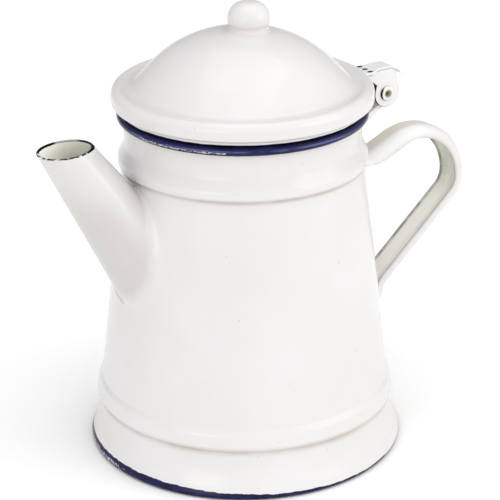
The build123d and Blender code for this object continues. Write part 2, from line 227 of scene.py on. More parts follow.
panels = {
    "side_panel": ((0.7, -0.8, 0.5), 0.8, 2.6, (1.0, 0.99, 0.98)),
    "low_panel": ((-0.9, -0.55, 0.2), 0.5, 1.35, (1.0, 1.0, 1.0)),
    "top_panel": ((0.1, 0.1, 1.4), 1.3, 4.6, (0.94, 0.97, 1.0)),
}
for name, (place, size, power, tint) in panels.items():
    lamp = bpy.data.lights.new(name, "AREA")
    lamp.size, lamp.energy, lamp.color = size, power, tint
    panel = bpy.data.objects.new(name, lamp)
    panel.location = place
    to_pot = Vector((0, 0, 0.08)) - Vector(place)
    panel.rotation_euler = to_pot.to_track_quat("-Z", "Y").to_euler()
    scene.collection.objects.link(panel)

floor_mesh = bpy.data.meshes.new("floor")
span = 4.0
corners = [(-span, -span, 0), (span, -span, 0), (span, span, 0), (-span, span, 0)]
floor_mesh.from_pydata(corners, [], [(0, 1, 2, 3)])
floor = bpy.data.objects.new("floor", floor_mesh)
floor.location.z = -0.05 * MM
scene.collection.objects.link(floor)
floor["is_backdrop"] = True
floor_paint, w = new_material("pale_floor")
floor_shader = w.tree.nodes["Principled BSDF"]
w.fill(floor_shader, Base_Color=(0.96, 0.96, 0.96, 1), Roughness=0.9, Specular_IOR_Level=0.1)
floor_mesh.materials.append(floor_paint)
print("floor", 2 * span, "m wide")

# %% [markdown]
# A pressed sheet is described by its section: a route of corners, each with its own radius, and
# a thickness. The helpers below turn such a route into a dense line, and a line and its shifted
# copy into the closed outline of the sheet, with round edges as enamel leaves them. Routes are
# in millimetres, and the outline comes out in metres.

# %% Routes and sheets
def within(value):
    """A number held between 0 and 1."""
    return min(max(value, 0.0), 1.0)


def heading(a, b):
    """Direction of the run from one corner of a route to the next."""
    return Vector((b[0] - a[0], b[1] - a[1])).normalized()


def rounded(route, step=5.0, longest=4.0):
    """The points of a route of (x, z, radius): rounded corners, and runs cut into short pieces."""
    points = [Vector(route[0][:2])]
    for before, corner, after in zip(route, route[1:], route[2:]):
        u, v = heading(before, corner), heading(corner, after)
        turn = u.angle_signed(v) * -1
        reach = corner[2] * math.tan(abs(turn) / 2)
        start = Vector(corner[:2]) - u * reach
        side = Vector((-u.y, u.x)) * math.copysign(1, turn)
        centre = start + side * corner[2]
        arm = start - centre
        count = max(2, math.ceil(abs(math.degrees(turn)) / step))
        for a in (turn * i / count for i in range(count + 1)):
            c, s = math.cos(a), math.sin(a)
            points.append(centre + Vector((arm.x * c - arm.y * s, arm.x * s + arm.y * c)))
    points.append(Vector(route[-1][:2]))
    dense = [points[0]]
    for a, b in zip(points, points[1:]):
        parts = max(1, math.ceil((b - a).length / longest))
        dense += [a.lerp(b, k / parts) for k in range(1, parts + 1)]
    return dense


def sideways(route, distance):
    """A route moved to its left, its corners kept concentric."""
    runs = [heading(a, b) for a, b in zip(route, route[1:])]
    moved = []
    for i, (x, z, radius) in enumerate(route):
        u, v = runs[max(i - 1, 0)], runs[min(i, len(runs) - 1)]
        scale = distance / (1 + u.dot(v))
        turn = u.x * v.y - u.y * v.x
        if radius > 0:
            radius = max(radius - distance * (1 if turn > 0 else -1), 0.05)
        moved.append((x - (u.y + v.y) * scale, z + (u.x + v.x) * scale, radius))
    return moved


def half_round(a, b, bulge, count=6):
    """Points of a round edge from a to b, bulging to the side that bulge points to."""
    middle, half = (a + b) / 2, (a - b) / 2
    angles = [math.pi * i / count for i in range(1, count)]
    return [middle + half * math.cos(t) + bulge * half.length * math.sin(t) for t in angles]


def sheet_outline(route, thickness, step=5.0, round_start=True, round_end=True):
    """Outline of a sheet: along the route, round its end and back on the other side."""
    near = rounded(route, step)
    far = rounded(sideways(route, thickness), step)
    outline = list(near)
    if round_end:
        outline += half_round(near[-1], far[-1], (near[-1] - near[-2]).normalized())
    outline += far[::-1]
    if round_start:
        outline += half_round(far[0], near[0], (near[0] - near[1]).normalized())
    return [p * MM for p in outline]


# %% [markdown]
# Most of the pot is round, so its pieces are turned: the outline is carried round a circle. On
# the real pot a lathe does that, pressing a spinning sheet over a form. Geometry Nodes do it here
# with Curve to Mesh, whose rail is a circle and whose profile is the sheet's outline.

# %% Turning with Geometry Nodes
def new_tree(name, kind, inputs, outputs):
    """An empty tree. An input is given by its value, or else by its kind of socket."""
    tree = bpy.data.node_groups.new(name, kind)
    for title, value in inputs.items():
        data = value if isinstance(value, str) else {int: "Int", float: "Float"}[type(value)]
        socket = tree.interface.new_socket(title, in_out="INPUT", socket_type="NodeSocket" + data)
        if data != value:
            socket.default_value = value
    for title, data in outputs.items():
        tree.interface.new_socket(title, in_out="OUTPUT", socket_type="NodeSocket" + data)
    w = Wiring(tree)
    return w, w.node("NodeGroupInput"), w.node("NodeGroupOutput")


def geometry_tree(name, sizes):
    """A Geometry Nodes tree, which also takes a mesh and a material."""
    inputs = {"Geometry": "Geometry", **sizes, "Enamel": "Material"}
    return new_tree(name, "GeometryNodeTree", inputs, {"Geometry": "Geometry"})


def end_tree(w, taken, last, given):
    """Ends a tree: instances made real, then the material."""
    coat = w.node("GeometryNodeSetMaterial", Material=taken.outputs["Enamel"])
    w.row(last, w.node("GeometryNodeRealizeInstances"), coat, given)


w, taken, given = geometry_tree("Turned sheet", {"Steps round": 192, "Rail radius": 50 * MM})
turned_sheet = w.tree
rail_radius = taken.outputs["Rail radius"]
back = w.node("ShaderNodeCombineXYZ", X=w.times(rail_radius, -1)).outputs[0]
laid = w.node("GeometryNodeTransform", Translation=back, Rotation=(math.pi / 2, 0, 0))
w.row(taken, w.node("GeometryNodeMeshToCurve"), laid)
steps_round = taken.outputs["Steps round"]
rail = w.node("GeometryNodeCurvePrimitiveCircle", Resolution=steps_round, Radius=rail_radius)
sweep = w.node("GeometryNodeCurveToMesh", Profile_Curve=laid.outputs[0])
closed = w.node("GeometryNodeMergeByDistance", Distance=0.002 * MM)
smooth = w.node("GeometryNodeSetShadeSmooth")
w.row(rail, sweep, closed, smooth)
end_tree(w, taken, smooth, given)


def settle(piece, *materials):
    """Makes a piece's modifiers part of its mesh. Materials that are given replace the mesh's own."""
    graph = bpy.context.evaluated_depsgraph_get()
    made = bpy.data.meshes.new_from_object(piece.evaluated_get(graph))
    piece.modifiers.clear()
    piece.data = made
    if materials:
        made.materials.clear()
    for material in materials:
        made.materials.append(material)


def grown(name, tree, mesh, **settings):
    """Runs a tree on a mesh and keeps the result as a plain mesh object."""
    piece = bpy.data.objects.new(name, mesh)
    scene.collection.objects.link(piece)
    modifier = piece.modifiers.new("grow", "NODES")
    modifier.node_group = tree
    sockets = {s.name: s.identifier for s in tree.interface.items_tree if s.in_out == "INPUT"}
    for key, value in settings.items():
        modifier[sockets[key.replace("_", " ")]] = value
    settle(piece)
    piece.data.name = name
    return piece


SHARP = 0.9


def facing_out(piece):
    """Merges doubled points and turns every face outwards. Edges sharper than SHARP stay crisp."""
    shape = bmesh.new()
    shape.from_mesh(piece.data)
    bmesh.ops.remove_doubles(shape, verts=shape.verts, dist=1e-6)
    bmesh.ops.dissolve_degenerate(shape, edges=shape.edges, dist=1e-7)
    bmesh.ops.recalc_face_normals(shape, faces=shape.faces)
    if shape.calc_volume(signed=True) < 0:
        bmesh.ops.reverse_faces(shape, faces=shape.faces)
    for face in shape.faces:
        face.smooth = True
    for edge in shape.edges:
        edge.smooth = edge.calc_face_angle(0) < SHARP
    shape.to_mesh(piece.data)
    shape.free()


def turned(name, outline, material, steps=192, closed_loop=True):
    """A piece of revolution from its outline of (radius, height) points in metres."""
    count = len(outline)
    edges = [(i, (i + 1) % count) for i in range(count if closed_loop else count - 1)]
    mesh = bpy.data.meshes.new(name + "_outline")
    mesh.from_pydata([(p.x, 0, p.y) for p in outline], edges, [])
    piece = grown(name, turned_sheet, mesh, Steps_round=steps, Enamel=material)
    facing_out(piece)
    print(name, len(piece.data.polygons), "faces")
    return piece


# %% [markdown]
# Pieces and finishes have to agree on where things are: the slope of the cone, the mouth of the
# spout, the hinge pin. These are driving sizes in millimetres, so each is written once, here.

# %% Sizes that pieces and finishes share
CONE_TOP, SHOULDER, CONE_TAPER = 47.94, 117.9, 0.114127
CONE_AT_ZERO = CONE_TOP + CONE_TAPER * SHOULDER
ROLL = 138.1
MOUTH, ROOT = Vector((-76.8, 0, 136.2)), Vector((-28.6, 0, 62.0))
MOUTH_HALF, ROOT_HALF = Vector((11.0, 9.9)), Vector((22.1, 20.9))
TILT = math.radians(3.9)
MOUTH_RIGHT = Vector((math.cos(TILT), 0, math.sin(TILT)))
MOUTH_UP = Vector((-math.sin(TILT), 0, math.cos(TILT)))
SPOUT_DROP = MOUTH.z - ROOT.z
PIN_X, PIN_Z = 65.1, 135.1
print("cone", round(CONE_AT_ZERO, 2), "mm at the floor, spout", round(SPOUT_DROP, 1), "mm tall")

# %% [markdown]
# Enamel is glass melted on steel. Its surface is never quite flat: it pulls into slow waves and a
# finer orange peel, and its colour drifts a little where the coat is thinner. Every enamelled
# piece has that skin, so it is one shader group, built once.

# %% The enamel skin as a shader group
def shader_group(name, sizes, *results):
    """A shader group: coordinates and named sizes go in, numbers come out."""
    outputs = {title: "Float" for title in results}
    return new_tree(name, "ShaderNodeTree", {"Coords": "Vector", **sizes}, outputs)


skin_sizes = {"Wave scale": 55.0, "Peel scale": 520.0}
w, taken, given = shader_group("Enamel skin", skin_sizes, "Drift", "Height", "Roughness", "Speck")
enamel_skin = w.tree
where, wave_scale, peel_scale = list(taken.outputs)[:3]
waves, peel = w.noise(where, wave_scale), w.noise(where, peel_scale, 1.0)
cloud = w.noise(where, 21.0, 3.0, 0.55)
w.fill(given, Drift=w.ramp(cloud, 0.3, 0.7), Roughness=w.ramp(cloud, 0.25, 0.75, 0.15, 0.24))
w.fill(given, Height=w.plus(waves, w.times(peel, 0.12)))
w.fill(given, Speck=w.ramp(w.noise(where, 900.0, 0.0), 0.875, 0.895))
print("enamel skin", len(enamel_skin.nodes), "nodes")

# %% [markdown]
# Enamel chips where it is knocked: at rims and feet. A chip has a sharp, ragged outline. This
# group cuts such a mask out of noise, only where a region mask lets it. Edge is the dark line
# round each chip.

# %% Chips as a shader group
chip_sizes = {"Region": 0.0, "Size": 320.0, "Share": 0.5}
w, taken, given = shader_group("Chips", chip_sizes, "Chip", "Edge")
chipping = w.tree
where, region, size, share = list(taken.outputs)[:4]
over = w.minus(w.noise(where, size, 4.0, 0.65), w.minus(1.0, w.times(region, share)))
chip = w.ramp(over, 0.0, 0.02)
w.fill(given, Chip=chip, Edge=w.minus(w.ramp(over, -0.05, -0.01), chip))
print("chips", len(chipping.nodes), "nodes")

# %% [markdown]
# The white enamel is a warm, slightly uneven white. The group's drift shifts the colour between
# two whites, and a few dark pinholes show in the glaze. The colours of the other finishes are
# named here too. The gloss is lower where a part would mirror the white studio too strongly.

# %% White enamel
WHITE, WARM_WHITE = (0.690, 0.679, 0.681, 1), (0.668, 0.650, 0.638, 1)
# The hinge whites are lighter than the pot's white: painted light against the shade under the lid's brim.
HINGE_LIT_WHITE, HINGE_LIT_WARM = (0.765, 0.76, 0.775, 1), (0.74, 0.73, 0.725, 1)
BLUE, BLUE_DEEP = (0.013, 0.012, 0.072, 1), (0.006, 0.006, 0.034, 1)
# The lighter blue is a painted highlight. The near-black blue is the lip's dark enamel, and also painted
# shade under the rim's roll and on the collar's bead.
BLUE_HIGHLIGHT, BLUE_BLACK_AND_SHADE = (0.085, 0.095, 0.26, 1), (0.002, 0.002, 0.008, 1)
# The near-black dirt colour rings the chips, and is also painted shade in gaps, in corners and round the
# rivet's heads.
PINHOLE, GRIME_AND_SHADE = (0.30, 0.28, 0.25, 1), (0.018, 0.016, 0.014, 1)
# The crease grey is painted shade in the creases of the beads.
GROUND_COAT, CREASE_SHADE = (0.45, 0.45, 0.49, 1), (0.49, 0.46, 0.41, 1)
# The grey beside the coffee colour is painted shade on the spout's side away from the pot.
COFFEE, SPOUT_SHADE = (0.55, 0.47, 0.33, 1), (0.55, 0.532, 0.505, 1)
# The inside colours are far lighter than the outer white: painted light inside the spout, with a real
# olive stain.
LIT_INSIDE_CREAM, LIT_INSIDE_OLIVE = (0.98, 0.97, 0.92, 1), (0.90, 0.91, 0.80, 1)


def enamel_base(name, gloss=0.5):
    """A material, its wiring, its object coordinates and the enamel skin's outputs."""
    material, w = new_material(name)
    w.fill(w.tree.nodes["Principled BSDF"], IOR=1.5, Specular_IOR_Level=gloss)
    where = w.coords()
    return material, w, where, w.group(enamel_skin, Coords=where)


def finish_shader(w, colour, roughness, height, strength, depth):
    """Joins the last colour, roughness and height to the shader, and gives the shader back."""
    bump = w.node("ShaderNodeBump", Strength=strength, Distance=depth, Height=height)
    shader = w.tree.nodes["Principled BSDF"]
    print("finish of", len(w.tree.nodes), "nodes")
    return w.fill(shader, Base_Color=colour, Roughness=roughness, Normal=bump.outputs[0])


def finish_enamel(w, skin, colour, roughness=None, height=None):
    """Finishes an enamel, with the skin's own roughness and height where none is given."""
    roughness, height = roughness or skin["Roughness"], height or skin["Height"]
    finish_shader(w, colour, roughness, height, 0.35, 0.12 * MM)


def white_colour(w, skin):
    """The drifting white with its pinholes."""
    drifted = w.mix(skin["Drift"], WHITE, WARM_WHITE)
    return w.mix(w.times(skin["Speck"], 0.45), drifted, PINHOLE)


white_enamel, w, where, skin = enamel_base("white_enamel")
finish_enamel(w, skin, white_colour(w, skin))

# %% [markdown]
# The body's sheet is white with a blue rim and a blue foot. The blue was brushed on, so its
# border wanders a little, and it is knocked off in places on the side of the spout. A lighter
# blue along the roll is a painted highlight, and the roll's underside is near black as painted
# shade. Painted shade also darkens the creases of the beads and the corner beside the top of the
# spout. Coffee has stained the wall inside. The rim and the foot take a less glossy copy of the
# same coat.

# %% Body enamel with its blue edges
BRUSH_EDGE = (-0.05, 0.12)


def cone_at(w, z):
    """The cone's outside radius at a height in millimetres, as a socket."""
    return w.minus(CONE_AT_ZERO, w.times(z, CONE_TAPER))


def body_coat(name, gloss):
    """White enamel with a blue rim and foot, worn edges, painted highlights on the rim and painted shade
    under the roll, in the creases and beside the spout.
    """
    material, w, where, skin = enamel_base(name, gloss)
    x, y, z = w.millimetres(where)
    radius = w.hypot(x, y)
    height = w.plus(z, w.wander(where, 240.0, 1.1))

    def facing(toward_x, toward_y):
        """How far a point lies to one side of the pot, from -1 to 1."""
        return w.share(w.plus(w.times(x, toward_x), w.times(y, toward_y)), radius)

    to_front, to_left = facing(-0.86, -0.51), facing(-0.866, 0.5)
    rim_edge = w.ramp(radius, 46.0, 46.6, 138.4, 135.9)
    foot_edge = w.ramp(to_left, -1.0, 1.0, 1.7, 4.1)
    rim = w.ramp(w.minus(height, rim_edge), *BRUSH_EDGE)
    foot = w.ramp(w.minus(foot_edge, height), *BRUSH_EDGE)
    blue_part = w.most(rim, foot)

    long_way = w.stretched(where, (1.0, 1.0, 3.2))
    brushed = w.noise(long_way, 150.0, 3.0)
    # Painted highlights: a lighter blue along the crest of the roll, on its right and at its front.
    crest_highlight = w.times(w.band(z, ROLL + 0.1, 0.2, 0.6), w.ramp(brushed, 0.42, 0.62), 0.55)
    upper = w.band(z, ROLL + 0.2, 0.2, 0.3)
    right_highlight = w.times(w.band(to_left, -0.62, 0.10, 0.20), upper)
    front_highlight = w.times(w.ramp(to_front, 0.80, 0.92), upper, w.ramp(brushed, 0.30, 0.55))
    # Painted shade: the underside of the roll is made near black.
    underside_shade = w.times(w.ramp(z, ROLL - 1.5, ROLL - 0.7, 1.0, 0.0), w.ramp(z, 50.0, 60.0))
    blue = w.mix(w.ramp(brushed, 0.35, 0.65), BLUE, BLUE_DEEP)
    blue = w.mix(w.most(crest_highlight, right_highlight, front_highlight), blue, BLUE_HIGHLIGHT)
    blue = w.mix(underside_shade, blue, BLUE_BLACK_AND_SHADE)

    rim_knocks = w.times(w.band(z, ROLL - 0.4, 0.3, 0.4), w.ramp(to_front, 0.84, 0.95))
    foot_knocks = w.times(w.band(z, 1.9, 0.5, 0.5), w.ramp(to_left, 0.55, 0.85))
    region = w.most(rim_knocks, foot_knocks)
    knocks = w.group(chipping, Coords=long_way, Region=region, Size=760.0, Share=0.52)
    blue = w.mix(knocks["Edge"], blue, GRIME_AND_SHADE)
    blue = w.mix(knocks["Chip"], blue, GROUND_COAT)

    # Painted shade in the creases under the beads, uneven in strength.
    shaded_creases = w.most(w.band(z, 19.2, 0.2, 2.4), w.band(z, SHOULDER + 0.1, 0.2, 1.6))
    uneven = w.ramp(w.noise(where, 60.0, 3.0), 0.25, 0.7, 0.5, 1.0)
    white = w.mix(w.times(shaded_creases, uneven), white_colour(w, skin), CREASE_SHADE)
    inner_face = w.ramp(w.minus(cone_at(w, z), radius), 0.906, 1.206)
    brewed = w.times(inner_face, w.ramp(height, 100.0, 20.0, 0.0, 0.55))
    white = w.mix(brewed, white, COFFEE)
    # Painted shade in the corner where the top of the spout meets the shoulder bead.
    spout_corner_shade = w.times(w.band(y, 7.5, 3.5, 4.5), w.ramp(x, -30.0, -20.0, 0.9, 0.0))
    white = w.mix(w.times(w.band(z, SHOULDER - 0.3, 0.6, 1.0), spout_corner_shade), white, GRIME_AND_SHADE)

    blue_roughness = w.mix(knocks["Chip"], 0.16, 0.6, "FLOAT")
    roughness = w.mix(blue_part, skin["Roughness"], blue_roughness, "FLOAT")
    chipped = w.times(knocks["Chip"], blue_part, -0.8)
    colour = w.mix(blue_part, white, blue)
    finish_enamel(w, skin, colour, roughness, w.plus(skin["Height"], chipped))
    return material


body_enamel, rim_enamel = body_coat("body_enamel", 0.5), body_coat("rim_enamel", 0.16)

# %% [markdown]
# The spout's lip was edged with the same dark enamel, now worn through in places, and coffee has
# left an olive stain inside, whose colours are far lighter than the outer white as painted light.
# The mesh carries an attribute that tells the inside from the outside, and the lip is found by
# its height over the plane of the mouth. Painted shade darkens the side away from the pot and
# the far side of the lower weld, to finish the outside.

# %% Spout enamel
def spout_coat(name, gloss):
    """White enamel with painted shade on one side and on the far weld, a worn dark lip, and a stained
    inside made lighter as painted light.
    """
    material, w, where, skin = enamel_base(name, gloss)
    x, y, z = w.millimetres(where)
    from_mouth, down = w.minus(x, MOUTH.x), w.minus(MOUTH.z, z)

    to_right = w.plus(w.times(from_mouth, 0.55), w.times(y, 0.83))
    along_up = w.plus(w.times(x, MOUTH_UP.x), w.times(z, MOUTH_UP.z), w.wander(where, 420.0, 0.8))
    over_mouth = w.minus(along_up, MOUTH.dot(MOUTH_UP))
    dark_depth = w.ramp(to_right, -6.0, 6.0, -0.42, -0.85)
    dark = w.ramp(w.minus(over_mouth, dark_depth), 0.0, 0.12)
    patches = w.minus(w.noise(where, 420.0, 2.0, 0.6), w.ramp(to_right, -8.0, 4.0, 0.05, 0.18))
    unworn = w.minus(1.0, w.ramp(patches, 0.50, 0.56))
    far_middle = w.times(w.ramp(y, 3.0, 6.0), w.band(x, -72.5, 3.0, 2.0), 0.4)
    lip = w.times(dark, unworn, w.minus(1.0, far_middle))

    mottled = w.ramp(w.noise(where, 380.0, 4.0, 0.7), 0.35, 0.70, 0.55, 1.0)
    stained = w.times(mottled, w.ramp(x, -84.0, -70.0, 0.05, 0.9))
    # Far lighter than the outer white as painted light, with the real olive stain deeper towards the pot.
    inside = w.mix(stained, LIT_INSIDE_CREAM, LIT_INSIDE_OLIVE)

    off_axis = w.minus(from_mouth, w.times(down, (ROOT.x - MOUTH.x) / SPOUT_DROP))
    spread = w.times(down, (ROOT_HALF.x - MOUTH_HALF.x) / SPOUT_DROP)
    off_middle = w.share(off_axis, w.plus(MOUTH_HALF.x, spread))
    off_body = w.minus(w.hypot(x, y), cone_at(w, z))
    # Painted shade on the spout's side away from the pot, strongest low down and clear of the body.
    side_shade = w.times(w.ramp(off_middle, -0.45, 0.4, 0.95, 0.05), w.ramp(down, 8.0, 30.0, 0.3, 1.0))
    side_shade = w.times(side_shade, w.ramp(off_body, 0.0, 4.5))
    outside = w.mix(side_shade, white_colour(w, skin), SPOUT_SHADE)
    # Painted shade along the lower weld on the far side.
    weld_shade_band = w.times(w.band(off_body, 0.7, 0.4, 0.5), w.ramp(z, 74.0, 71.0, 0.0, 0.42))
    weld_shade = w.times(weld_shade_band, w.ramp(y, -1.0, 3.0), w.ramp(z, 66.5, 68.0))
    outside = w.mix(weld_shade, outside, GRIME_AND_SHADE)

    colour = w.mix(lip, w.mix(w.marked("inside"), outside, inside), BLUE_BLACK_AND_SHADE)
    finish_enamel(w, skin, colour, w.mix(lip, skin["Roughness"], 0.35, "FLOAT"))
    return material


spout_enamel, lip_enamel = spout_coat("spout_enamel", 0.5), spout_coat("lip_enamel", 0.04)

# %% [markdown]
# The upper arm is warmer on top near the pot, and lighter on its near side as painted light.
# Inside the channel the coat is worn in long streaks, creamy low down and greener higher up, in
# colours far lighter than the outer white as painted light. Painted shade darkens the near side
# of the channel, most low down, and painted light brightens its far half low down. On the
# flanges' edges the coat is so thin that the steel shows through, and that dark edge is stronger
# on the far side as painted shade.

# %% Handle and pan enamel
handle_enamel, w, where, skin = enamel_base("handle_enamel")
x, y, z = w.millimetres(where)
streaks = w.noise(w.stretched(where, (0.35, 2.6, 0.35)), 300.0, 4.0, 0.65)
streaks = w.ramp(streaks, 0.35, 0.68)
# The streaks are real wear, but their colours are far lighter than the outer white, as painted light.
creamy = w.mix(streaks, (0.97, 0.95, 0.91, 1), (0.82, 0.79, 0.73, 1))
greener = w.mix(streaks, (0.85, 0.86, 0.78, 1), (0.69, 0.71, 0.61, 1))
inside = w.mix(w.ramp(z, 60.0, 92.0), creamy, greener)
# Painted light on the far half of the channel low down, and painted shade on the near half.
far_half_light = w.times(w.ramp(y, 0.5, 4.0), w.ramp(z, 96.0, 80.0, 0.0, 0.85))
inside = w.mix(far_half_light, inside, (1.0, 0.985, 0.95, 1))
near_half_shade = w.times(w.ramp(y, 2.5, -3.0), w.ramp(z, 94.0, 80.0, 0.30, 0.75))
inside = w.mix(near_half_shade, inside, (0.60, 0.58, 0.50, 1))

upper_arm = w.ramp(z, 100.0, 105.0)
# Painted light: a lighter white on the near side of the upper arm.
near_side_light = w.times(w.ramp(y, -1.0, -5.0), w.ramp(x, 90.0, 78.0, 0.0, 0.7), upper_arm)
outside = w.mix(near_side_light, white_colour(w, skin), (0.80, 0.79, 0.785, 1))
# A warmer tint on the top of the upper arm, strongest near the pot.
warm_top = w.times(w.ramp(y, -4.5, 3.0), w.ramp(x, 96.0, 70.0, 0.0, 0.85), upper_arm)
outside = w.mix(warm_top, outside, (0.75, 0.69, 0.57, 1))
colour = w.mix(w.marked("inside"), outside, inside)
patchy = w.ramp(w.noise(where, 160.0, 3.0), 0.25, 0.55, 0.4, 1.0)
# Worn flange edges, darker on the far side as painted shade.
edge_wear_and_shade = w.times(w.marked("edge"), w.ramp(y, -2.0, 2.0, 0.35, 0.9), patchy)
finish_enamel(w, skin, w.mix(edge_wear_and_shade, colour, (0.20, 0.19, 0.16, 1)))

pan_enamel, w, where, skin = enamel_base("pan_enamel")
scratched = w.times(w.ramp(w.noise(where, 90.0, 5.0, 0.7), 0.56, 0.72), 0.5)
finish_enamel(w, skin, w.mix(scratched, white_colour(w, skin), (0.42, 0.38, 0.31, 1)))

# %% [markdown]
# Two more whites carry painted shade: the collar's bead, made near black where it sits over the
# blue rim, and the clip of the hinge wherever its mesh says so. The clip's shaded faces take a
# dull copy of the coat. Both hinge pieces are a lighter white than the pot, as painted light.

# %% Collar and hinge enamel
collar_enamel, w, where, skin = enamel_base("collar_enamel")
bead_height = w.plus(w.millimetres(where)["Z"], w.wander(where, 180.0, 0.6))
# Painted shade: the collar's bead is made near black where it sits in the gap over the rim.
bead_shade = w.band(bead_height, 139.9, 0.7, 0.3)
finish_enamel(w, skin, w.mix(bead_shade, white_colour(w, skin), BLUE_BLACK_AND_SHADE))


def hinge_coat(name, gloss):
    """A cooler white, lighter than the pot's as painted light, darkened as painted shade wherever the
    mesh's own attribute says so.
    """
    material, w, where, skin = enamel_base(name, gloss)
    patchy = w.ramp(w.noise(where, 900.0, 3.0, 0.6), 0.2, 0.5, 0.96, 1.0)
    bright = w.mix(skin["Drift"], HINGE_LIT_WHITE, HINGE_LIT_WARM)
    finish_enamel(w, skin, w.mix(w.times(w.marked("painted_shade"), patchy), bright, GRIME_AND_SHADE))
    return material


hinge_enamel, hinge_shade = hinge_coat("hinge_enamel", 0.5), hinge_coat("hinge_shade", 0.03)

# %% [markdown]
# The rivet is the only bare metal: dull tinned steel. Its roughness and colour wander with a fine
# noise, olive dirt gathers in its hollow, and painted shade darkens each head's edge on the side
# of the pot.

# %% Rivet metal
rivet_metal, w = new_material("rivet_metal")
where = w.coords()
x, y, z = w.millimetres(where)
across = w.minus(x, PIN_X)
from_pin = w.hypot(across, w.minus(z, PIN_Z))
hollow_edge = w.plus(from_pin, w.times(w.noise(where, 900.0, 3.0), 0.6))
dirt = w.ramp(hollow_edge, 1.7, 2.2, 1.0, 0.0)
# Painted shade on each head's edge, widest on the side of the pot.
head_shade = w.ramp(w.minus(from_pin, w.times(across, 0.35)), 3.5, 3.8)
metal = w.mix(w.noise(where, 700.0, 4.0, 0.6), (0.86, 0.85, 0.82, 1), (0.66, 0.64, 0.58, 1))
olive = w.mix(w.ramp(from_pin, 1.0, 1.4), (0.62, 0.58, 0.44, 1), (0.28, 0.26, 0.16, 1))
colour = w.mix(head_shade, w.mix(w.times(dirt, 0.9), metal, olive), GRIME_AND_SHADE)
roughness = w.ramp(w.noise(where, 1200.0), 0.3, 0.7, 0.28, 0.48)
shader = finish_shader(w, colour, roughness, w.noise(where, 1500.0, 3.0), 0.4, 0.04 * MM)
w.fill(shader, Metallic=w.minus(1.0, dirt))
print("materials", [m.name for m in bpy.data.materials])

# %% [markdown]
# The body is one sheet of steel: crimped under at the foot, flared, then a straight cone with one
# rolled bead low down and one at the shoulder, a neck, and a rim rolled outwards. Each corner of
# the routes below carries its own radius, because the beads have steep undersides and gentle tops.

# %% Body sheet
def cone_radius(z):
    """Outside radius of the straight cone, in millimetres."""
    return CONE_AT_ZERO - CONE_TAPER * z


foot_route = [(59.7, 2.4, 0), (59.7, 0, 1.64), (64.288, 0, 1.64), (60.216, 10.338, 25)]
lower_bead = [(cone_radius(18.8), 18.8, 0.4), (60.7, 20.2, 2.4), (59.65, 26.1, 4), (58.2, 28, 0.8)]
shoulder = [(CONE_TOP, SHOULDER, 0.4), (49.29, 118.5, 0.9), (49.19, 121.9, 3), (46.75, 126.6, 4.5)]
rim_roll = [(46.75, 138.9, 0.78), (48.35, 138.9, 0.78), (48.35, 137.3, 0.78), (47.15, 137.3, 0)]
body_route = foot_route + lower_bead + shoulder + rim_roll
body_outline = sheet_outline(body_route, 1.0, round_start=False, round_end=False)
body_shell = turned("body_shell", body_outline, body_enamel, steps=224)

# %% [markdown]
# Behind the spout the body is pierced with rows of small holes that hold the grounds back. They
# repeat on a triangular grid inside an oval, so Geometry Nodes place the punches, and a Boolean
# modifier takes them out of the sheet, as the punch did.

# %% Strainer punches
OVAL_HALF_Y, OVAL_HALF_Z = 11 * MM, 18.7 * MM
GRID_SIDE, CIRCLE_SIDES = 5, 28

punch_sizes = {"Pitch": 6.4 * MM, "Hole radius": 1.8 * MM, "Middle height": 91 * MM, "Reach": 55 * MM}
w, taken, given = geometry_tree("Strainer punches", punch_sizes)
strainer = w.tree
pitch, hole, middle_height, reach = (taken.outputs[title] for title in punch_sizes)
row_pitch = w.times(pitch, math.sqrt(3) / 2)
grid = w.node("GeometryNodeMeshGrid", Vertices_X=GRID_SIDE, Vertices_Y=GRID_SIDE)
w.fill(grid, Size_X=w.times(pitch, GRID_SIDE - 1), Size_Y=w.times(row_pitch, GRID_SIDE - 1))
position = w.node("GeometryNodeInputPosition").outputs[0]
spot = w.node("ShaderNodeSeparateXYZ", Vector=position).outputs
row = w.math("ROUND", w.share(spot["Y"], row_pitch))
odd_row = w.math("MODULO", w.math("ABSOLUTE", row), 2)
across = w.plus(spot["X"], w.times(odd_row, pitch, 0.5))
from_middle = w.hypot(w.share(across, OVAL_HALF_Y), w.share(spot["Y"], OVAL_HALF_Z))
outside = w.math("GREATER_THAN", from_middle, 1)
height = w.plus(spot["Y"], middle_height)
place = w.node("ShaderNodeCombineXYZ", X=w.times(reach, -1), Y=across, Z=height).outputs[0]
kept = w.node("GeometryNodeDeleteGeometry", Selection=outside)
moved = w.node("GeometryNodeSetPosition", Position=place)
punch = w.node("GeometryNodeMeshCylinder", Vertices=CIRCLE_SIDES, Depth=30 * MM, Radius=hole)
lying = (0, math.pi / 2, 0)
set_out = w.node("GeometryNodeInstanceOnPoints", Instance=punch.outputs["Mesh"], Rotation=lying)
w.row(grid, kept, moved, set_out)
end_tree(w, taken, set_out, given)
punch_set = grown("strainer_punches", strainer, bpy.data.meshes.new("no_mesh"), Enamel=body_enamel)
print("punches", len(punch_set.data.vertices) // (2 * CIRCLE_SIDES))

# %% [markdown]
# The rim and the foot then take their less glossy coat, which is a second material on the faces
# that a small test picks out.

# %% Piercing the body
BLUE_RIM_FROM, BLUE_FOOT_TO = 133 * MM, 5 * MM


def second_coat(piece, material, is_there):
    """Gives another material to the faces whose middles pass a test."""
    piece.data.materials.append(material)
    for face in piece.data.polygons:
        face.material_index = int(is_there(face.center))


pierce = body_shell.modifiers.new("pierce", "BOOLEAN")
pierce.operation = "DIFFERENCE"
pierce.solver = "EXACT"
pierce.object = punch_set
settle(body_shell, body_enamel)
bpy.data.objects.remove(punch_set)
facing_out(body_shell)
second_coat(body_shell, rim_enamel, lambda p: not BLUE_FOOT_TO <= p.z <= BLUE_RIM_FROM)
print("body_shell pierced", len(body_shell.data.polygons), "faces")

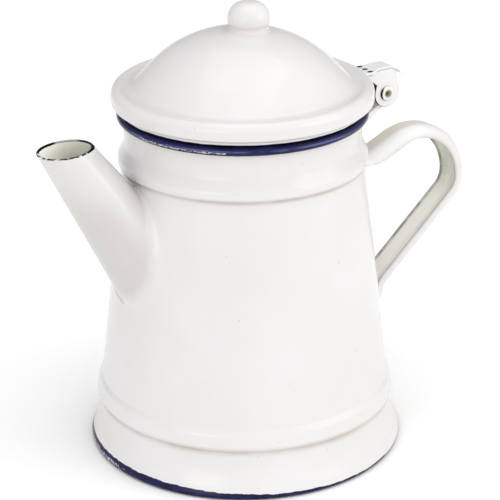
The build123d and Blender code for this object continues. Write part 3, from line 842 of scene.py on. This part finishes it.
# %% [markdown]
# The bottom pan closes the body. Its edge turns down and is held in the fold of the foot. The lid
# is one pressing too: a dome, a valley, and a brim whose edge is hemmed under. Both reach the
# axis, so their outlines are open there and the poles are merged.

# %% Bottom pan and lid shell
pan_route = [(0, 4.6, 0), (61.043, 4.6, 1.6), (62.205, 1.65, 0)]
pan_outline = sheet_outline(pan_route, -1.0, round_start=False)
bottom_pan = turned("bottom_pan", pan_outline, pan_enamel, steps=160, closed_loop=False)

dome_route = [(0, 170.8, 0), (21.9, 170.8, 48), (44.1, 148.6, 4.5), (51.3, 150.1, 3.2)]
brim_route = [(51.3, 142.5, 1.22), (48.82, 142.5, 1.22), (48.82, 144.12, 0)]
lid_outline = sheet_outline(dome_route + brim_route, -1.0, step=3, round_start=False)
lid_shell = turned("lid_shell", lid_outline, white_enamel, steps=224, closed_loop=False)

# %% [markdown]
# Under the lid a collar drops into the neck. Its rolled bead sits on the rim and carries the lid.
# The knob is a small hollow pressing, welded a little off centre towards the hinge, so its foot
# is drawn down the dome by a different amount on each side, and pressed a little into it.

# %% Collar and knob
neck_route = [(44.5, 129.4, 0), (44.5, 139.95, 1), (48.4, 139.95, 1.05)]
bead_route = [(48.4, 142.15, 1.05), (44.5, 142.15, 1), (44.5, 148.05, 0)]
collar_outline = sheet_outline(neck_route + bead_route, 0.8, round_end=False)
lid_collar = turned("lid_collar", collar_outline, collar_enamel)

DOME_RADIUS, DOME_MIDDLE, DOME_OFFSET = 48 * MM, 122.8 * MM, 2.02 * MM
KNOB_X, KNOB_WAIST, KNOB_FOOT = 3.0 * MM, 173.2 * MM, 2.6 * MM
KNOB_HOLE, KNOB_SUNK = 5.8 * MM, 0.4 * MM


def dome_z(r):
    """Height of the dome's outer face at a distance from the lid's axis, in metres."""
    return DOME_MIDDLE + math.sqrt(DOME_RADIUS ** 2 - max(r - DOME_OFFSET, 0) ** 2)


knob_top = [(0, 181.5, 0), (8.3, 181.5, 6.6), (8.3, 173.5, 3.0)]
knob_foot = [(7.1, 171.5, 1.3), (8.5, 170.35, 3.0), (13.2, 169.12, 0)]
knob_outline = sheet_outline(knob_top + knob_foot, -0.9, round_start=False)
lid_knob = turned("lid_knob", knob_outline, white_enamel, steps=96, closed_loop=False)
for v in lid_knob.data.vertices:
    own = math.hypot(v.co.x, v.co.y)
    v.co.x += KNOB_X
    share = within((KNOB_WAIST - v.co.z) / KNOB_FOOT)
    dome = dome_z(math.hypot(v.co.x, v.co.y))
    v.co.z += (dome - dome_z(own)) * share * share * (3 - 2 * share)
    if own > KNOB_HOLE:
        v.co.z = max(v.co.z, dome - KNOB_SUNK)
print("knob top", round(max(v.co.z for v in lid_knob.data.vertices) / MM, 2))

# %% [markdown]
# The spout and the handle are not round, so they are woven: rows of points, one row after the
# other, joined by faces. Where such a piece is welded on, the enamel has filled the corner, so
# each line of points ends in a small curve that leaves the piece and lands on the cone.

# %% Weaving and landing
def woven(name, rows, material, ring=False):
    """Joins rows of closed loops. The rows close to a ring, or both ends fold shut on themselves."""
    shape = bmesh.new()
    made = [[shape.verts.new(p) for p in row] for row in rows]
    count = len(rows[0])
    for a, b in zip(made, made[1:] + made[:1] if ring else made[1:]):
        for j in range(count):
            shape.faces.new((a[j], a[(j + 1) % count], b[(j + 1) % count], b[j]))
    if not ring:
        for row in (made[0], made[-1]):
            for j in range(count // 2 - 1):
                shape.faces.new((row[j], row[j + 1], row[count - 2 - j], row[count - 1 - j]))
    mesh = bpy.data.meshes.new(name)
    shape.to_mesh(mesh)
    shape.free()
    mesh.materials.append(material)
    piece = bpy.data.objects.new(name, mesh)
    scene.collection.objects.link(piece)
    facing_out(piece)
    print(name, len(mesh.polygons), "faces")
    return piece


def above_cone(p):
    """Distance of a point from the cone, in metres and along its radius."""
    return math.hypot(p.x, p.y) - cone_radius(p.z / MM) * MM


def landing(start, course):
    """Where a line first meets the cone, found by halving the last step."""
    step = 0.5 * MM
    near = start
    while above_cone(near + course * step) > 0:
        near = near + course * step
    for _ in range(24):
        step /= 2
        if above_cone(near + course * step) > 0:
            near = near + course * step
    return near


def onto_cone(p, depth=0.02 * MM):
    """A point moved level onto the cone, and so far into it."""
    scale = (cone_radius(p.z / MM) * MM - depth) / math.hypot(p.x, p.y)
    return Vector((p.x * scale, p.y * scale, p.z))


def along_cone(direction, p):
    """A direction laid flat on the cone at a point."""
    up = Vector((p.x, p.y, CONE_TAPER * math.hypot(p.x, p.y))).normalized()
    return (direction - up * direction.dot(up)).normalized()


def bezier(a, b, c, d, count):
    """Points of a cubic curve from a to d, steered by b and c."""
    for t in (i / count for i in range(count + 1)):
        yield a * (1 - t) ** 3 + b * 3 * t * (1 - t) ** 2 + c * 3 * t * t * (1 - t) + d * t ** 3


LONGEST_WELD, WELD_PULL, RUN_OUT = 0.8, 0.6, 0.1 * MM


def weld(start, course, outward, size, count=8):
    """A line's last stretch, from where its weld begins to where it runs out on the cone."""
    foot = landing(start, course)
    size = min(size, (foot - start).length * LONGEST_WELD)
    begin, end = foot - course * size, onto_cone(foot + along_cone(outward, foot) * size, 0)
    last = along_cone(end - foot, end)
    steer_in, steer_out = begin + course * size * WELD_PULL, end - last * size * WELD_PULL
    return [*bezier(begin, steer_in, steer_out, end, count), onto_cone(end + last * RUN_OUT)]


# %% [markdown]
# The spout is a straight tapered tube, rolled from a flat pattern. It is ruled between two ovals:
# one at the mouth, and one that it would have inside the pot. Each of its lines is walked from
# the lip down to the cone, round inside, and back up to the lip.

# %% Spout
# LIP is the round edge's height, and LIP_COAT how far down the dull lip coat goes.
LIP, LIP_COAT = 0.45 * MM, 1.2 * MM
WALL_X, WALL_Y = 1.073, 0.9
SPOUT_LINES = 112


def spout_line(t, inset_x=0.0, inset_y=0.0):
    """Ends of one straight line of the spout, its wall moved in by the insets."""
    half_x, half_y = MOUTH_HALF.x - inset_x, MOUTH_HALF.y - inset_y
    root_x, root_y = ROOT_HALF.x - inset_x, ROOT_HALF.y - inset_y
    top = MOUTH + MOUTH_RIGHT * half_x * math.cos(t) + Vector((0, half_y * math.sin(t), 0))
    low = ROOT + Vector((root_x * math.cos(t), root_y * math.sin(t), 0))
    return top * MM, low * MM


def weld_size(t):
    """The weld is widest at the spout's two sides and narrow over and under it."""
    return (2.4 + 4.6 * math.sin(t) ** 2 - 0.9 * max(math.cos(t), 0)) * MM


spout_rows = []
for t in (2 * math.pi * i / SPOUT_LINES for i in range(SPOUT_LINES)):
    top, low = spout_line(t)
    inner_top, inner_low = spout_line(t, WALL_X, WALL_Y)
    course, inner_course = (low - top).normalized(), (inner_low - inner_top).normalized()
    next_top, next_low = spout_line(t + 0.01)
    outward = (next_top - top).lerp(next_low - low, 0.6).cross(course).normalized()
    if outward.dot(Vector((math.cos(t), math.sin(t), 0))) < 0:
        outward = -outward
    start, inner_start = top + course * LIP, inner_top + inner_course * LIP
    foot = weld(start, course, outward, weld_size(t))
    outer = [start.lerp(foot[0], k / 18) for k in range(18)] + foot
    end = onto_cone(landing(inner_start, inner_course))
    inner = [end.lerp(inner_start, k / 12) for k in range(13)]
    spout_rows.append(outer + inner + half_round(inner[-1], outer[0], -course, 7))
spout = woven("spout", spout_rows, spout_enamel, ring=True)
second_coat(spout, lip_enamel, lambda p: (p - MOUTH * MM).dot(MOUTH_UP) > -LIP_COAT)

# %% [markdown]
# The handle is a strap pressed to a channel: a face to the outside, rounded edges, and two
# flanges turned towards the hand. The flanges are shallow where the handle leaves the pot,
# deepest before the crest, and even after it, so the section is worked out at every step of the
# outer line.

# %% Handle
upper_arm = [(42.75, 103.78, 0), (104.7, 133.594, 25.2), (104.7, 87.371, 14)]
lower_arm = [(65.8, 50.585, 3), (65.8, 42.7, 6.5), (52.522, 42.7, 0)]
flange_edge = [
    (40.75, 105.9), (60.5, 105.9), (65.2, 107.3), (70.3, 109.7),
    (74.6, 111.9), (77.0, 112.85), (79.5, 113.4),
]
HALF_STRAP, STRAP_WALL, STRAP_ROUND = 6.0, 1.0, 3.9
FLANGE_DEPTH, LEAST_FLANGE, DEEPEST_FLANGE = 5.3, 1.7, 9.0
TIP_BEND, TIP_LIP, LEAST_STEP = 0.35, 0.3, 0.35
CREST_X, LOWER_Z = 79.5, 100
END_CLEARANCE, END_WELD = 2.2 * MM, 0.9 * MM


def flange_height(x):
    """Height of the flanges' lower edge over the upper arm."""
    for (x0, z0), (x1, z1) in zip(flange_edge, flange_edge[1:]):
        if x <= x1:
            return z0 + (z1 - z0) * (x - x0) / (x1 - x0)
    return flange_edge[-1][1]


def flange_depth(x, z, inward):
    """Depth of the flanges below one point of the outer line, found by halving a range."""
    if x >= CREST_X or z < LOWER_Z:
        return FLANGE_DEPTH
    low, high = 0.0, DEEPEST_FLANGE
    for _ in range(24):
        middle = (low + high) / 2
        if z + inward.y * middle > flange_height(x + inward.x * middle):
            low = middle
        else:
            high = middle
    return max(low, LEAST_FLANGE)


def strap_round(depth):
    """Radius of the strap's rounded edges, less where the flanges are shallow."""
    return min(STRAP_ROUND, depth - 0.5)


def channel_side(half, top, r, tip, depth, count=7):
    """One face of the strap's section, from one flange's tip to the other's."""
    low = max(depth - TIP_BEND, top + r + 0.02)
    angles = [math.pi / 2 * k / count for k in range(count + 1)]
    bend = [(half - r + r * math.cos(a), top + r - r * math.sin(a)) for a in angles]
    flat = [((half - r) * k / 4, top) for k in (3, 2, 1)]
    right = [(half + tip * STRAP_WALL, low + TIP_LIP), (half, low), *bend, *flat]
    return [*right, (0.0, top), *((-x, z) for x, z in right[::-1])]


def channel(depth):
    """Loop of the strap's section as (across, inwards): outer face one way, inner face back."""
    outer_round = strap_round(depth)
    inner_round = max(outer_round - STRAP_WALL, 0.15)
    outer = channel_side(HALF_STRAP, 0.0, outer_round, -0.25, depth)
    inner = channel_side(HALF_STRAP - STRAP_WALL, STRAP_WALL, inner_round, 0.25, depth)
    return outer + inner[::-1]


def strap_stations(spacing):
    """Points, directions and inward normals along the outer line."""
    line = rounded(upper_arm + lower_arm, 3, spacing)
    dense = [line[0]]
    for p in line[1:]:
        if (p - dense[-1]).length > LEAST_STEP:
            dense.append(p)
    for before, p, after in zip(dense[:1] + dense, dense, dense[1:] + dense[-1:]):
        along = (after - before).normalized()
        yield p, Vector((along.y, -along.x))


strap_rings = []
for p, inward in strap_stations(1.5):
    section = channel(flange_depth(p.x, p.y, inward))
    strap_rings.append([Vector((p.x + inward.x * d, y, p.y + inward.y * d)) * MM for y, d in section])
clear = [i for i, ring in enumerate(strap_rings) if min(above_cone(q) for q in ring) > END_CLEARANCE]
strap_rings = strap_rings[clear[0]:clear[-1] + 1]


def welded_end(ring, before, hand):
    """Rings that carry one end of the strap onto the cone."""
    lines = []
    for j, q in enumerate(ring):
        course = (q - before[j]).normalized()
        side = ring[(j + 1) % len(ring)] - ring[j - 1]
        outward = side.cross(course).normalized() * hand
        lines.append(weld(q, course, outward, END_WELD, 5))
    return [list(ring) for ring in zip(*lines)]


top_end = welded_end(strap_rings[0], strap_rings[1], -1)
low_end = welded_end(strap_rings[-1], strap_rings[-2], 1)
handle = woven("handle", top_end[::-1] + strap_rings + low_end, handle_enamel)

# %% [markdown]
# Two meshes need to say where their inside is, for the stains, and the handle also where the
# edges of its flanges are. Point attributes do that, worked out from each point's place in the
# finished mesh.

# %% Marking the insides
def mark(piece, name, amount_of):
    """Writes an attribute that a material reads: 0 to 1 at each point of the mesh."""
    marks = piece.data.attributes.new(name, "FLOAT", "POINT")
    marks.data.foreach_set("value", [within(amount_of(v.co)) for v in piece.data.vertices])


def inside_spout(p):
    """How far in a point of the spout is, against the oval at its height."""
    share = (MOUTH.z - p.z / MM) / SPOUT_DROP
    middle_x = MOUTH.x + (ROOT.x - MOUTH.x) * share
    half = MOUTH_HALF.lerp(ROOT_HALF, share)
    wall_in = (1 - math.hypot((p.x / MM - middle_x) / half.x, p.y / MM / half.y)) * half.y
    return (wall_in - 0.25) / 0.4


strap_line = [(p * MM, inward, flange_depth(p.x, p.y, inward)) for p, inward in strap_stations(3.0)]


def on_strap(p):
    """How deep below the outer line a point is, and how deep the flanges are there."""
    at, inward, flange = min(strap_line, key=lambda s: (s[0].x - p.x) ** 2 + (s[0].y - p.z) ** 2)
    return (Vector((p.x, p.z)) - at).dot(inward) / MM, flange


def inside_handle(p):
    """How far in from the outer face a point of the strap is."""
    depth, flange = on_strap(p)
    bend, from_edge = strap_round(flange), HALF_STRAP - abs(p.y) / MM
    wall_in = min(depth, from_edge)
    if depth < bend and from_edge < bend:
        wall_in = bend - math.hypot(bend - from_edge, bend - depth)
    return (wall_in - 0.35) / 0.3


def handle_edge(p):
    """The thin coat along the flanges' edges, wider on the far side, where it is also painted shade."""
    depth, flange = on_strap(p)
    return (depth - flange + (0.45 if p.y < 0 else 0.8)) / 0.2


mark(spout, "inside", inside_spout)
mark(handle, "inside", inside_handle)
mark(handle, "edge", handle_edge)
print("marked", len(spout.data.vertices) + len(handle.data.vertices), "points")

# %% [markdown]
# The hinge arm and the clip on the lid are small stampings whose exact shape matters for the
# hinge, so they start as copies of the CAD pieces. Thick enamel rounds every edge of such small
# parts: the copy is merged, rebuilt in fine voxels, and its edges are relaxed.

# %% Hinge arm and lid clip
def enamelled_copy(node, voxel, rounds):
    """A copy of a CAD piece with softened edges."""
    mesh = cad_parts[node].data.copy()
    mesh.name = node + "_enamelled"
    piece = bpy.data.objects.new(mesh.name, mesh)
    scene.collection.objects.link(piece)
    facing_out(piece)
    rebuild = piece.modifiers.new("rebuild", "REMESH")
    rebuild.mode = "VOXEL"
    rebuild.voxel_size = voxel
    rebuild.use_smooth_shade = True
    relax = piece.modifiers.new("relax", "SMOOTH")
    relax.factor = 0.5
    relax.iterations = rounds
    settle(piece, hinge_enamel)
    print(node, len(piece.data.polygons), "faces")
    return piece


EAR_RADIUS, EAR_FRONT, EAR_INNER, EAR_OUTER = 5.8, 3.6, 2.95, 3.8
SLOTS_X, SLOT_PITCH, SLOT_SHADE = -8.3, 3.9, 1.15
TONGUE_UNDER, HEAD_SHADE = 9.6, 3.3


def clip_shade(p):
    """Painted shade along the ears' front edges, round the rivet's heads, on a fold line and in the
    slots.
    """
    dx, y, dz = p.x / MM - PIN_X, p.y / MM, p.z / MM - PIN_Z
    away = max(math.hypot(dx, dz), 0.1)
    painted_shade = 0.0
    if abs(y) > EAR_INNER:
        if dz < 0:
            near, behind = EAR_RADIUS - away, EAR_RADIUS - away
            fade = within((3.0 - dx) / 3.0)
        else:
            slant = ((dx + EAR_RADIUS) * 3.4 + (dz - EAR_FRONT) * 3.3) / 4.74
            near, behind = max(dx + EAR_RADIUS, slant), EAR_RADIUS - dx - 0.2 * dz
            fade = within((8.2 - dz) / 1.5)
        thick = 0.35 + 0.75 * within(1 - abs(dz - 4.2) / 3.4)
        front_shade = within((thick - near) / 0.25) * fade
        painted_shade = max(front_shade, 0.28 * within((0.4 - behind) / 0.25))
    if abs(y) > EAR_OUTER:
        side = within(0.45 - (dx * 0.95 + dz * 0.3) / away * 0.75)
        painted_shade = max(painted_shade, within((HEAD_SHADE - away) / 0.25) * side)
    fold = 10.2 - within((dx - 2.2) / 7.4) * 4.5 - within((-3.5 - dx) / 3.8) * 0.8
    if abs(y) > EAR_OUTER + 0.1 and dx > -6.4:
        painted_shade = max(painted_shade, 0.4 * within((0.35 - abs(dz - fold)) / 0.2))
    if dz > TONGUE_UNDER:
        for slot_y in (-SLOT_PITCH, 0, SLOT_PITCH):
            off = math.hypot((dx - SLOTS_X) * 0.85, y - slot_y)
            slot_shade = within((SLOT_SHADE - off) / 0.2) * within((dz - TONGUE_UNDER - 0.1) / 0.3)
            painted_shade = max(painted_shade, slot_shade)
    return painted_shade


hinge_arm = enamelled_copy("hinge_arm", 0.2 * MM, 5)
lid_clip = enamelled_copy("lid_clip", 0.16 * MM, 4)
# The clip's attribute and its dull second coat mark painted shade.
mark(lid_clip, "painted_shade", clip_shade)
second_coat(lid_clip, hinge_shade, lambda p: clip_shade(p) > 0.5)

# %% [markdown]
# The hinge pin is a tubular rivet, clenched over both ears of the clip. It is turned upright
# like the round pieces, then laid along Y at the hinge.

# %% Rivet
half_rivet = [(1.15, 0, 0), (1.15, 4.92, 0.35), (3.0, 4.92, 0.5), (3.0, 4.02, 0.15), (2.0, 4.02, 0.05)]
rivet_route = half_rivet + [(r, -z, corner) for r, z, corner in half_rivet[::-1]]
rivet_outline = [p * MM for p in rounded(rivet_route, 15)[:-1]]
hinge_rivet = turned("hinge_rivet", rivet_outline, rivet_metal, steps=72)
lay_down = Matrix.Rotation(math.radians(-90), 4, "X")
hinge_rivet.data.transform(Matrix.Translation(Vector((PIN_X, 0, PIN_Z)) * MM) @ lay_down)

# %% [markdown]
# Last, each piece is named after the CAD piece it stands for, that CAD piece is hidden, and the
# piece is attached to the body that carries it. The box of the finished model is shown beside
# the box of the CAD model.

# %% Riding with the frame
riders = {
    "pot": {
        "body_shell": body_shell, "bottom_pan": bottom_pan, "spout": spout,
        "handle": handle, "hinge_arm": hinge_arm,
    },
    "lid": {
        "lid_shell": lid_shell, "lid_collar": lid_collar, "lid_knob": lid_knob,
        "lid_clip": lid_clip, "hinge_rivet": hinge_rivet,
    },
}
for body, pieces_of in riders.items():
    for node, piece in pieces_of.items():
        piece.name = node + "_enamelled" if node != "hinge_rivet" else "hinge_rivet_turned"
        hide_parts(node)
        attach(piece, body)
low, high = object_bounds()
{"cad": [list(cad_low), list(cad_high)], "visual": [list(low), list(high)]}
print("visual box", [round(v, 4) for v in (*low, *high)])
